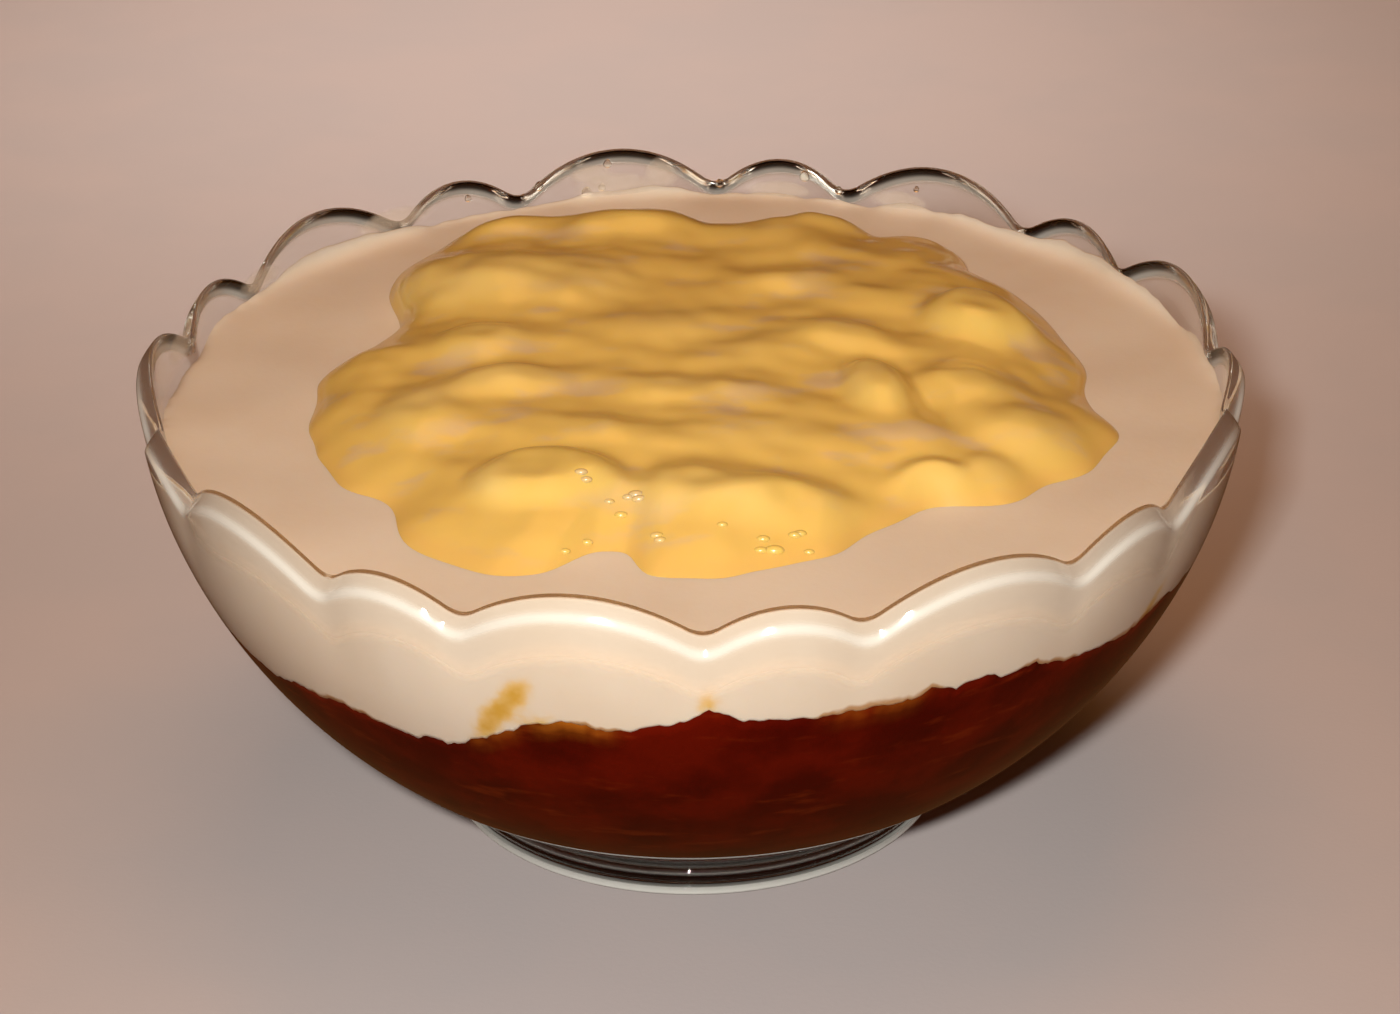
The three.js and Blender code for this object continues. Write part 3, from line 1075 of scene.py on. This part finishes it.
@dataclass
class CreamLayer:
    """The pale layer over the stew: streaky top, smears up the glass, and seeps of juice on its wall."""

    form: BowlForm
    line: StewLine
    level: float
    finish: SoftCream = SoftCream()
    stations: int = 720
    bottom_rings: int = 8
    wall_steps: int = 40
    top_rings: int = 66
    top_bias: float = 1.7
    split: float = 0.02
    climb: float = 1.3
    climb_base: float = 0.9
    smears: tuple[Wave, ...] = (
        Wave(34, 13, 2.6), Wave(56, 9, 1.2), Wave(95, 7, 1.2), Wave(136, 10, 2.2),
        Wave(172, 12, -2.6), Wave(8, 6, 1.5), Wave(350, 7, 0.8), Wave(300, 12, -0.6), Wave(240, 20, 0.6),
    )
    ragged_line: tuple[Ripples, ...] = (Ripples(41, 15.0, 0.25), Ripples(42, 5.0, 0.08))
    top_relief: tuple[Ripples, ...] = (Ripples(43, 46.0, 0.2), Ripples(44, 22.0, 0.05))
    seeps: tuple[Seep, ...] = (
        Seep(249.2, 2.0, 2.9, 8.0, 0.65, 1.05), Seep(252.4, 8.6, 2.6, 3.0, 0.3, 0.6),
        Seep(254.2, 1.5, 6.5, 3.2, -0.4, 0.55), Seep(271.5, 8.2, 2.6, 3.0, 0.0, 0.5),
        Seep(271.5, 12.0, 1.3, 4.0, 0.0, 0.35), Seep(327.0, 2.5, 2.6, 4.4, 0.5, 0.75),
    )
    edgings: tuple[Wave, ...] = (
        Wave(228, 6, 1.0), Wave(289, 6.5, 1.5), Wave(310, 5, 0.9), Wave(325, 5, 1.3), Wave(260, 3, 0.8),
    )
    edging_base: float = 0.25
    edging_least: float = 0.1

    def contact_z(self, angle: Array) -> Array:
        """Height up to which the cream clings to the glass: its level, a small climb, smears and ripples."""
        ragged = ripple_sum(self.ragged_line, *in_plan(Shell.INSIDE.value[0], angle))
        return self.level + self.climb_base + wave_sum(self.smears, angle) + ragged

    def top_rows(self, angle: Array, edge: Array) -> Array:
        """Rows of the top, from the glass to the middle.

        The height is the level plus low ripples, and near the glass it rises to the contact line by e to
        the minus distance over the climb. The rows stand closer near the glass.

        Args:
            angle: stations round the bowl.
            edge: (radius, z) of the contact line at each station.

        Returns:
            Array of rows, stations and (radius, z).
        """
        share = np.linspace(0.0, 1.0, self.top_rings, endpoint=False)[1:, None] ** self.top_bias
        radius = edge[:, 0] * (1.0 - share)
        level = self.level + ripple_sum(self.top_relief, *in_plan(radius, angle))
        cling = np.exp(-(edge[:, 0] - radius) / self.climb)
        return np.stack([radius, level + (edge[:, 1] - level) * cling], axis=-1)

    def build(self) -> bpy.types.Object:
        """Builds the layer from the stew up and marks its stains.

        The stain along the stew is a bell of the way over the stew's line.

        Returns:
            The mesh object.
        """
        angle = all_round(self.stations)
        edge_z = self.line.at_wall(angle)
        wall = self.form.wall_rows(Shell.FILLING, angle, edge_z, self.contact_z(angle), self.wall_steps)
        share = np.linspace(0.0, 1.0, self.bottom_rings, endpoint=False)[1:, None]
        bottom_z = self.line.middle_z + self.split + (edge_z - self.line.middle_z) * share**2
        bottom = np.stack([wall[0, :, 0] * share, bottom_z], axis=-1)
        section = np.concatenate([bottom, wall, self.top_rows(angle, wall[-1])])
        z = section[..., 1]
        over = z - self.line.middle_z
        seep = sum(patch.share(angle, over, self.line.wall_radius) for patch in self.seeps)
        edging = self.edging_base + wave_sum(self.edgings, angle)
        edge = bell(z - edge_z, edging + self.edging_least) * np.clip(edging, 0.0, 1.0)
        surface = RingSurface(angle, section, self.line.middle_z + self.split, self.level)
        return surface.build("cream", {"seep": np.clip(seep, 0.0, 1.0), "edge": edge})

    def dress(self, piece: bpy.types.Object) -> None:
        """Puts the layer in place of its solid."""
        settle(piece, self.finish.material(), "cream_layer")


@dataclass(frozen=True)
class Lump:
    """A lump of custard: place in plan, half length, half width, turn, rise and crispness of its edge."""

    x: float
    y: float
    long: float
    wide: float
    turn: float
    rise: float
    crisp: float = 2.0

    def height(self, x: Array, y: Array) -> Array:
        """Rise times a bell, with the crispness as its power, of the way out of the lump's turned oval.

        Args:
            x: places along X, in millimetres.
            y: places along Y, in millimetres.

        Returns:
            Heights in millimetres.
        """
        cosine, sine = np.cos(np.radians(self.turn)), np.sin(np.radians(self.turn))
        along = ((x - self.x) * cosine + (y - self.y) * sine) / self.long
        across = ((y - self.y) * cosine - (x - self.x) * sine) / self.wide
        return self.rise * bell(np.hypot(along, across), power=self.crisp)


@dataclass
class CustardHeap:
    """The lumpy heap of custard: a plateau that is thin in front and blunt at the back, with its lumps.

    Attributes:
        base_z: height of the heap's edge.
        tilt: how much higher the plateau is for each millimetre towards the back.
        edge_dip: how far the edge dips below its height.
        front_fullness, back_fullness: power of the way out, higher for a wider plateau.
        front_power, back_power: power of what that leaves, lower for a blunter edge.
        lump_reach: how close to the edge lumps keep their height.
        sink: how deep the underside lies in the cream.
        thin_height: height below which the custard looks thin.
        full_rise: rise of a lump at which its richer colour starts and is full.
        under_rings: rings of the underside, as shares of the outline.
    """

    base_z: float
    finish: CookedCustard = CookedCustard()
    centre: Pair = (2.0, 3.0)
    radius: float = 81.0
    thickness: float = 9.2
    tilt: float = 0.032
    edge_dip: float = 0.6
    front_fullness: float = 5.0
    back_fullness: float = 6.5
    front_power: float = 1.0
    back_power: float = 0.5
    lump_reach: float = 1.35
    sink: float = 1.5
    thin_height: float = 1.4
    full_rise: Pair = (0.4, 2.6)
    under_rings: Pair = (0.5, 1.0)
    stations: int = 480
    rings: int = 150
    ring_bias: float = 1.35
    lobes: tuple[Wave, ...] = (
        Wave(51, 7, 5), Wave(70, 8, 3), Wave(84, 8, -4), Wave(126, 19, 9), Wave(160, 13, -9),
        Wave(207, 9, 3.5), Wave(238, 13.5, 10), Wave(256, 5, -6), Wave(268, 7, 3), Wave(303, 12, -9),
        Wave(338, 10, 7),
    )
    ragged: Ripples = Ripples(51, 30.0, 0.7)
    lumps: tuple[Lump, ...] = (
        Lump(-37, -66, 22, 12, 8, 0.8), Lump(1, -72, 20, 10, -3, 0.8), Lump(20, -60, 13, 8, -10, 2, 3.5),
        Lump(31, -61, 7, 6, 0, 1.5, 2.5), Lump(3, -56, 17, 9, -4, 2.2, 3.5),
        Lump(47, -49, 7.5, 6, 0, 4.2, 3.6), Lump(60, -44, 6, 5, 0, 2.2, 3), Lump(-29, -51, 14, 10, 6, 4, 6),
        Lump(14, -34, 15, 7, -3, 1.2), Lump(-22, -31, 17, 6, -3, 1.2), Lump(70, -30, 13, 9, -8, 2.8, 3.4),
        Lump(-55, -21, 8, 11, 0, 2.8, 2.8), Lump(46, -16, 3.5, 15, 25, -1.5),
        Lump(-36, -10, 15, 6, 8, 2, 3.2), Lump(38, -14, 6.5, 11, 10, 3.8, 4),
        Lump(58, -13, 9, 8, 0, 2.4, 2.8), Lump(-3, -14, 14, 6, -9, 1.8, 3),
        Lump(11, 2, 13, 8, 0, 1.2), Lump(-44, 9, 10, 8, 0, 2.4, 3.5), Lump(30, 9, 14, 7, -12, 1.8, 3),
        Lump(-5, 17, 11, 8, -5, 1.5), Lump(61, 18, 11.5, 10, -15, 5, 5), Lump(41, 29, 12, 6, 0, 1.3, 2.2),
        Lump(24, 36, 11, 6, 0, 1.6, 2.2), Lump(-29, 39, 18, 13, -5, 2.2, 3.5),
        Lump(-52, 42, 17, 14, 5, 2.4, 3.5), Lump(15, 64, 13, 7, 0, 2, 2.8),
        Lump(56, 70, 6, 4, 0, 2.6), Lump(-11, 71, 17, 8, 0, 3.2, 3), Lump(31, 72, 8, 6, 0, 2.8, 2.8),
        Lump(-42, 74, 14, 8, 8, 2.8, 3), Lump(-13, -58, 9, 8, 0, 0.9), Lump(20, -68, 14, 9, 0, 0.5),
        Lump(-6, -38, 14, 7, -6, 0.6), Lump(20, -20, 14, 8, 0, 0.5), Lump(46, -37, 9, 8, 0, 0.7),
        Lump(73, 14, 3.5, 8, 0, 1, 2.5), Lump(-21, 11, 16, 7, 0, 0.6), Lump(41, 50, 11, 6, -10, 0.7),
        Lump(28, 52, 8, 5, 0, 0.7), Lump(-68, -27, 9, 10, 0, 0.6), Lump(-23, 65, 6, 6, 0, 0.8),
    )
    relief: tuple[Ripples, ...] = (Ripples(52, 30.0, 0.3), Ripples(53, 14.0, 0.15), Ripples(54, 8.0, 0.05))

    def outline(self, angle: Array) -> Array:
        """Radius of the heap's outline from its middle: the mean radius, lobes and notches, and ripples."""
        return self.radius + wave_sum(self.lobes, angle) + self.ragged.at(*in_plan(self.radius, angle))

    def top_heights(self, angle: Array, share: Array) -> tuple[Array, Array]:
        """Height of the heap over its base, and the part of it that is lumps.

        The plateau tilts up towards the back. Its edge is a power, lower at the back and so blunter, of 1
        less a power, the fullness, of the share of the way to the outline. Lumps and ripples are added and
        fade just before the edge.

        Args:
            angle: stations round the heap.
            share: shares of the way from the middle to the outline, as a column of rings.

        Returns:
            Two arrays of rings and stations, in millimetres.
        """
        out_x, out_y = in_plan(share * self.outline(angle), angle)
        x, y = self.centre[0] + out_x, self.centre[1] + out_y
        towards_back = (1.0 + np.sin(np.radians(angle))) / 2.0
        fullness = self.front_fullness + (self.back_fullness - self.front_fullness) * towards_back
        power = self.front_power + (self.back_power - self.front_power) * towards_back
        edge = (1.0 - share**fullness) ** power
        fade = np.minimum(self.lump_reach * edge, 1.0)
        lumps = fade * sum(lump.height(x, y) for lump in self.lumps)
        uneven = fade * ripple_sum(self.relief, x, y)
        return (self.thickness + self.tilt * y) * edge - self.edge_dip + lumps + uneven, lumps

    def build(self) -> bpy.types.Object:
        """Builds the heap, sunk a little into the cream, and marks where it is thin and where it is lumps.

        It is thin by a bell of its height.

        Returns:
            The mesh object.
        """
        angle = all_round(self.stations)
        outline = self.outline(angle)
        share = 1.0 - np.linspace(0.0, 1.0, self.rings, endpoint=False) ** self.ring_bias
        heights, lumps = self.top_heights(angle, share[:, None])
        top = np.stack([share[:, None] * outline, self.base_z + heights], axis=-1)
        under_radius = np.array(self.under_rings)[:, None] * outline
        under = np.stack([under_radius, np.full_like(under_radius, self.base_z - self.sink)], axis=-1)
        low, high = self.full_rise
        marks = {
            "thin": bell(heights, self.thin_height),
            "full": np.clip((lumps - low) / (high - low), 0.0, 1.0),
        }
        traits = {name: np.concatenate([np.zeros_like(under_radius), mark]) for name, mark in marks.items()}
        section = np.concatenate([under, top])
        high_pole = float(top[-1, :, 1].mean())
        surface = RingSurface(angle, section, self.base_z - self.sink, high_pole, self.centre)
        return surface.build("custard", traits)

    def dress(self, piece: bpy.types.Object) -> None:
        """Puts the heap in place of its solid."""
        settle(piece, self.finish.material(), "custard_heap")


@dataclass
class WallDabs:
    """Rounded dabs that cling to the inside of the glass: drops of syrup or smears of cream.

    Attributes:
        name: name of the piece.
        slot: name of a material slot for it; not used.
        places: angle, height over the rim's valleys, half width and half height of each dab.
        depth: how far a dab stands in from the wall.
        sag: how much wider a dab is at its lower end.
    """

    form: BowlForm
    name: str
    slot: str
    finish: ClearDrop | SoftCream
    places: tuple[tuple[float, float, float, float], ...]
    depth: float
    ball: Ball = Ball(10, 20)
    sag: float = 0.25

    def build(self) -> bpy.types.Object:
        """Builds all the dabs as one mesh.

        A dab is a ball, flattened against the glass and bent round with it. It covers the glass by the
        square of the way in of the ball's points.

        Returns:
            The mesh object.
        """
        inward, sideways, up = self.ball.surface().points().T
        at, over, half_width, half_height = (column[:, None] for column in np.array(self.places).T)
        girth = 1.0 - self.sag * up
        angle = at - np.degrees(half_width * girth * sideways / Shell.INSIDE.value[0])
        height = self.form.valley_z + over + half_height * up
        radius = self.form.wall(Shell.INSIDE, angle, height) - self.depth * girth * inward
        piece = self.ball.copies(self.name, on_rings(radius, angle, height))
        add_trait(piece, "cover", np.tile(inward**2, len(self.places)))
        return piece

    def dress(self, piece: bpy.types.Object) -> None:
        """Gives the dabs their finish."""
        settle(piece, self.finish.material())


@dataclass
class CreamFilm:
    """Thin film of cream that clings to the front of the glass, up to the rim.

    Attributes:
        reach: angles at which it ends.
        rows_below: how far below the rim's top it starts and ends.
        inlay: how far into the wall it lies, clear of the cream behind it.
        thickness: how thick it is.
        fades: how wide its ends, its upper and its lower edge fade, in degrees and millimetres.
    """

    form: BowlForm
    finish: SoftCream = SoftCream("cream_film", depth=0.0, film=1.0)
    reach: Pair = (206.0, 334.0)
    rows_below: Pair = (0.8, 17.0)
    inlay: float = 0.45
    thickness: float = 0.15
    fades: Triple = (9.0, 0.8, 9.0)
    stations: int = 360
    rows: int = 40

    def cover(self, angle: Array, below: Array) -> Array:
        """How much of the glass it hides: the product of the ways in from its edges over their fades.

        Args:
            angle: stations round the bowl.
            below: way down from the rim's top, as an array of rows and stations.

        Returns:
            Array of rows and stations, from 0 to 1.
        """
        first, last = self.reach
        high, low = self.rows_below
        ways_in = (np.minimum(angle - first, last - angle), below - high, low - below)
        ends, top, bottom = (np.clip(way / fade, 0.0, 1.0) for way, fade in zip(ways_in, self.fades))
        return ends * top * bottom

    def build(self) -> bpy.types.Object:
        """Builds the film as a closed sheet that follows the rim.

        The rows go up its outer face and down its inner face, and are shut at both ends.

        Returns:
            The mesh object.
        """
        angle = np.linspace(*self.reach, self.stations)
        below = np.linspace(*self.rows_below[::-1], self.rows)[:, None] * np.ones(self.stations)
        z = self.form.rim_z(angle) - below
        face = self.form.wall(Shell.INSIDE, angle, z) + self.inlay
        radius = np.concatenate([face + self.thickness, face[::-1]])
        height = np.concatenate([z, z[::-1]])
        points = on_rings(radius, angle, height).reshape(-1, 3)
        place = np.arange(len(points)).reshape(2 * self.rows, self.stations)
        after = np.roll(place, -1, axis=0)
        faces = np.stack([place[:, :-1], place[:, 1:], after[:, 1:], after[:, :-1]], axis=-1).reshape(-1, 4)
        outer, inner = place[: self.rows], place[::-1][: self.rows]
        caps = np.stack([outer[:-1], outer[1:], inner[1:], inner[:-1]], axis=-1)
        piece = solid_object("cream_film", points, faces, caps[:, 0], caps[:, -1, ::-1])
        cover = self.cover(angle, below)
        add_trait(piece, "cover", np.concatenate([cover, cover[::-1]]).ravel())
        return piece

    def dress(self, piece: bpy.types.Object) -> None:
        """Gives the film its finish, and lets light through to what lies behind it."""
        piece.visible_shadow = False
        settle(piece, self.finish.material())


@dataclass
class WetBeads:
    """Small wet beads on the custard's front, which catch the light.

    Attributes:
        places: place in plan and size of each bead.
        shape: half length, half width and half height of a bead, as shares of its size.
        sunk: how far below the custard's skin a bead's middle lies, as a share of its size.
    """

    heap: CustardHeap
    finish: CookedCustard = CookedCustard("wet_custard", coat=1.0, coat_roughness=0.2)
    places: tuple[Triple, ...] = (
        (-21.5, -55.4, 0.79), (-20.5, -56.7, 0.72), (-16.1, -58.7, 0.65), (-13.8, -61.6, 0.79),
        (-10.9, -57.2, 0.94), (-10.3, -58.4, 0.86), (-12.4, -57.6, 0.72), (-6.8, -69.3, 0.79),
        (-6.2, -70.6, 0.72), (-20.3, -68.6, 0.72), (-24.4, -72.5, 0.65), (5.7, -68.5, 0.65),
        (13.5, -70.5, 0.79), (15.6, -73.0, 1.15), (13.0, -73.3, 0.79), (19.6, -68.9, 0.79),
        (20.6, -68.5, 0.79), (22.2, -72.6, 0.65),
    )
    shape: Triple = (1.7, 1.0, 0.9)
    sunk: float = 0.15
    ball: Ball = Ball(10, 20)

    def build(self) -> bpy.types.Object:
        """Builds the beads as one mesh on the custard's top: balls drawn out along X.

        Returns:
            The mesh object.
        """
        x, y, size = np.array(self.places).T
        out_x, out_y = x - self.heap.centre[0], y - self.heap.centre[1]
        angle = np.degrees(np.arctan2(out_y, out_x))
        height = self.heap.top_heights(angle, np.hypot(out_x, out_y) / self.heap.outline(angle))[0]
        middle = np.stack([x, y, self.heap.base_z + height - self.sunk * size], axis=-1)
        shape = size[:, None, None] * np.array(self.shape)
        return self.ball.copies("wet_beads", middle[:, None, :] + shape * self.ball.surface().points())

    def dress(self, piece: bpy.types.Object) -> None:
        """Gives the beads their finish."""
        settle(piece, self.finish.material())


@dataclass
class Table:
    """The plain table top that the bowl stands on."""

    finish: PaleTable = PaleTable()
    half_size: float = 3000.0
    drop: float = 0.05
    rows: int = 3

    def build(self) -> bpy.types.Object:
        """Builds the table top as a flat sheet, just under the foot.

        Returns:
            The mesh object.
        """
        side = np.linspace(-self.half_size, self.half_size, self.rows)
        x, y = np.meshgrid(side, side)
        points = np.stack([x, y, np.full_like(x, -self.drop)], axis=-1).reshape(-1, 3)
        place = np.arange(x.size).reshape(x.shape)
        faces = np.stack([place[:-1, :-1], place[:-1, 1:], place[1:, 1:], place[1:, :-1]], axis=-1)
        return solid_object("table_top", points, faces.reshape(-1, 4))

    def dress(self, top: bpy.types.Object) -> None:
        """Gives the table its finish and keeps it out of the glass's mirrorings."""
        top.data.materials.append(self.finish.material())
        top.visible_glossy = False


class Lit(Enum):
    """What a lamp lights: the bowl with its contents, or the table round it."""

    DISH = "dish"
    TABLE = "table"


@dataclass(frozen=True)
class SoftBox:
    """One soft lamp: its name, place and target in metres, size, power, tint, and what it lights."""

    name: str
    place: Triple
    target: Triple
    size: Pair
    power: float
    tint: Triple
    spread: float = 180.0
    lit: tuple[Lit, ...] = (Lit.DISH, Lit.TABLE)

    def make(self, name: str) -> bpy.types.Object:
        """Hangs the lamp and turns it to its target.

        Args:
            name: name of the lamp.

        Returns:
            The lamp's object, which the viewer doesn't see, through glass either.
        """
        lamp = bpy.data.lights.new(name, "AREA")
        lamp.shape = "RECTANGLE"
        lamp.size, lamp.size_y = self.size
        lamp.energy = self.power
        lamp.color = self.tint
        lamp.spread = np.radians(self.spread)
        holder = bpy.data.objects.new(name, lamp)
        bpy.context.scene.collection.objects.link(holder)
        holder.location = self.place
        towards = Vector(self.target) - Vector(self.place)
        holder.rotation_euler = towards.to_track_quat("-Z", "Y").to_euler()
        holder.visible_camera = False
        holder.visible_transmission = False
        return holder


def link_group(name: str, pieces: tuple[str, ...], state: str) -> bpy.types.Collection:
    """Group of pieces that a lamp's links take in or leave out.

    Args:
        name: name of the group.
        pieces: names of the pieces.
        state: INCLUDE or EXCLUDE.

    Returns:
        The group.
    """
    group = bpy.data.collections.new(name)
    for piece in pieces:
        group.objects.link(bpy.data.objects[piece])
    for member in group.collection_objects:
        member.light_linking.link_state = state
    return group


@dataclass
class Studio:
    """Plain soft light: a box by the viewer, a warm one overhead, one for the table behind, a dim room.

    A box hangs once for the dish and once for the table, or for the table alone. The dish is lit as if the
    glass weren't there, and on the table the whole bowl casts its shadow.
    """

    boxes: tuple[SoftBox, ...] = (
        SoftBox(
            "front_box", (-0.05, -0.755, 0.49), (0.0, 0.0, 0.04), (0.05, 0.04),
            power=1.4, tint=(1.0, 0.985, 0.88), spread=80.0,
        ),
        SoftBox(
            "warm_box", (0.05, 0.30, 1.30), (0.0, 0.0, 0.05), (0.9, 0.9),
            power=4.4, tint=(1.0, 0.42, 0.1),
        ),
        SoftBox(
            "table_box", (-0.05, 0.48, 0.8), (-0.05, 0.48, 0.0), (0.4, 0.4),
            power=0.54, tint=(1.0, 0.95, 0.85), spread=56.0, lit=(Lit.TABLE,),
        ),
    )
    glass: tuple[str, ...] = ("clear_bowl", "rim_drops")
    table: tuple[str, ...] = ("table_top",)
    room: Triple = (1.0, 0.38, 0.12)
    room_strength: float = 0.07
    mirrorings: int = 12

    def make(self) -> None:
        """Hangs the lamps, and sets the dim room, the mirrorings in glass and a plain display of colours."""
        glass = link_group("shadeless_glass", self.glass, "EXCLUDE")
        receivers = {
            Lit.DISH: link_group("all_but_table", self.table, "EXCLUDE"),
            Lit.TABLE: link_group("table_alone", self.table, "INCLUDE"),
        }
        for box in self.boxes:
            for lit in box.lit:
                lamp = box.make(f"{box.name}_{lit.value}")
                lamp.light_linking.receiver_collection = receivers[lit]
                if lit is Lit.DISH:
                    lamp.light_linking.blocker_collection = glass
        world = bpy.data.worlds.new("dim_room")
        world.use_nodes = True
        background = world.node_tree.nodes["Background"]
        background.inputs["Color"].default_value = (*self.room, 1.0)
        background.inputs["Strength"].default_value = self.room_strength
        world.cycles.sampling_method = "NONE"
        bpy.context.scene.world = world
        bpy.context.scene.cycles.glossy_bounces = self.mirrorings
        bpy.context.scene.view_settings.view_transform = "Standard"


@dataclass(frozen=True)
class Viewpoint:
    """The camera: how far it looks down and leans, and where the bowl's foot lies before it, in metres."""

    look_down: float = 26.684
    lean: float = -0.6226
    foot_before: Triple = (-0.00088, 0.05637, 0.86930)
    sensor: float = 36.0
    image_width: float = 1400.0
    focal_pixels: float = 4000.0

    def make(self) -> None:
        """Sets the camera up.

        The rows of the turn are the image's right, its down and the way into it. The camera stands where
        the foot's centre comes to lie before it as given.
        """
        down, lean = np.radians(self.look_down), np.radians(self.lean)
        tilt = np.array([
            [1.0, 0.0, 0.0],
            [0.0, -np.sin(down), -np.cos(down)],
            [0.0, np.cos(down), -np.sin(down)],
        ])
        roll = np.array([
            [np.cos(lean), -np.sin(lean), 0.0],
            [np.sin(lean), np.cos(lean), 0.0],
            [0.0, 0.0, 1.0],
        ])
        turn = roll @ tilt
        lens = bpy.data.cameras.new("view")
        lens.sensor_width = self.sensor
        lens.sensor_fit = "HORIZONTAL"
        lens.lens = self.sensor * self.focal_pixels / self.image_width
        camera = bpy.data.objects.new("view", lens)
        bpy.context.scene.collection.objects.link(camera)
        axes = np.stack([turn[0], -turn[1], -turn[2]], axis=1)
        place = -turn.T @ np.array(self.foot_before)
        camera.matrix_world = Matrix.Translation(Vector(place)) @ Matrix(axes.tolist()).to_4x4()
        bpy.context.scene.camera = camera


RIM_DROPS = (
    (99.9, 4.6, 1.0, 1.0), (108.5, 1.3, 1.1, 1.1), (100.7, -0.8, 0.9, 0.9), (102.6, -1.6, 1.2, 1.2),
    (86.4, -0.4, 1.0, 1.0), (76.1, 1.8, 1.2, 1.2), (71.7, -0.4, 0.9, 0.9), (62.0, 2.2, 0.7, 0.7),
    (117.5, 1.0, 0.8, 0.8),
)
BACK_SMEARS = (
    (93.6, 1.8, 4.6, 4.4), (99.0, -0.4, 11.0, 3.4), (102.0, 2.6, 6.0, 2.6), (64.0, -0.9, 8.0, 2.4),
    (79.0, -1.6, 9.0, 2.4), (128.0, 0.8, 12.0, 3.0), (150.0, 0.0, 9.0, 3.0), (171.0, 0.5, 8.0, 3.4),
)


def main() -> None:
    """Builds every piece in order, then the table, the light and the view."""
    logging.basicConfig(level=logging.INFO, format="%(name)s: %(message)s")
    form = BowlForm()
    line = StewLine()
    cream_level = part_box("cream_layer")[1].z / MM
    smear = SoftCream("cream_smear", depth=0.0, film=0.26)
    heap = CustardHeap(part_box("custard_heap")[0].z / MM)
    pieces = (
        GlassBowl(form),
        ApricotStew(form, line),
        CreamLayer(form, line, cream_level),
        heap,
        WallDabs(form, "rim_drops", "clear_glass", ClearDrop(), RIM_DROPS, depth=0.65),
        CreamFilm(form),
        WallDabs(form, "cream_smears", "cream", smear, BACK_SMEARS, depth=0.4, ball=Ball(24, 40)),
        WetBeads(heap),
        Table(),
    )
    for piece in pieces:
        piece.dress(piece.build())
    Studio().make()
    Viewpoint().make()


if __name__ == "__main__":
    main()
